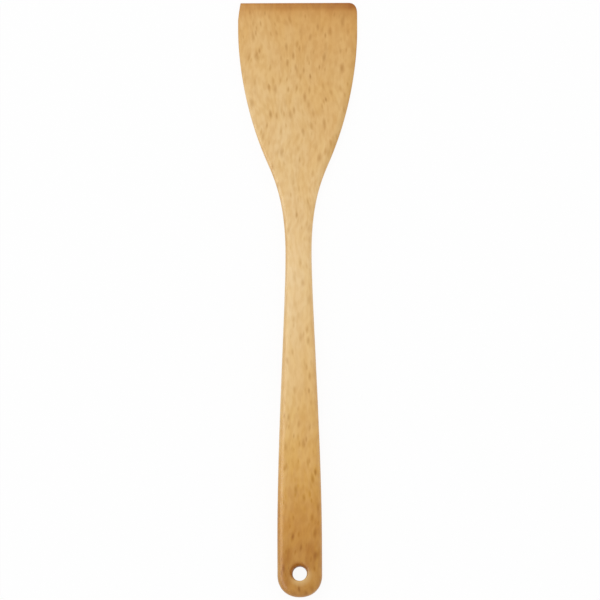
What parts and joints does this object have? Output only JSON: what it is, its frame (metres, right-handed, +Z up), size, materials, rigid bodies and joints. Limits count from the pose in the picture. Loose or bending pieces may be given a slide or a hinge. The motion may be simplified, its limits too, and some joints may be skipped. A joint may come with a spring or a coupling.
{
  "type": "wooden turner",
  "caption": "Flat wooden turner with a broad, thinning blade, a narrow neck and a rounded handle with a hanging hole, for lifting and turning food in a pan.",
  "frame": {"origin": "on the flat underside, at the middle of the length and of the width", "axes": "+Y along the length from the handle to the blade, +Z up through the thickness, +X across the blade to the right"},
  "size_m": [0.0682, 0.34, 0.012],
  "materials": {
    "beech": "sanded smooth and lightly oiled, satin"
  },
  "bodies": {
    "root": {"turner_body": "beech"}
  },
  "joints": []
}
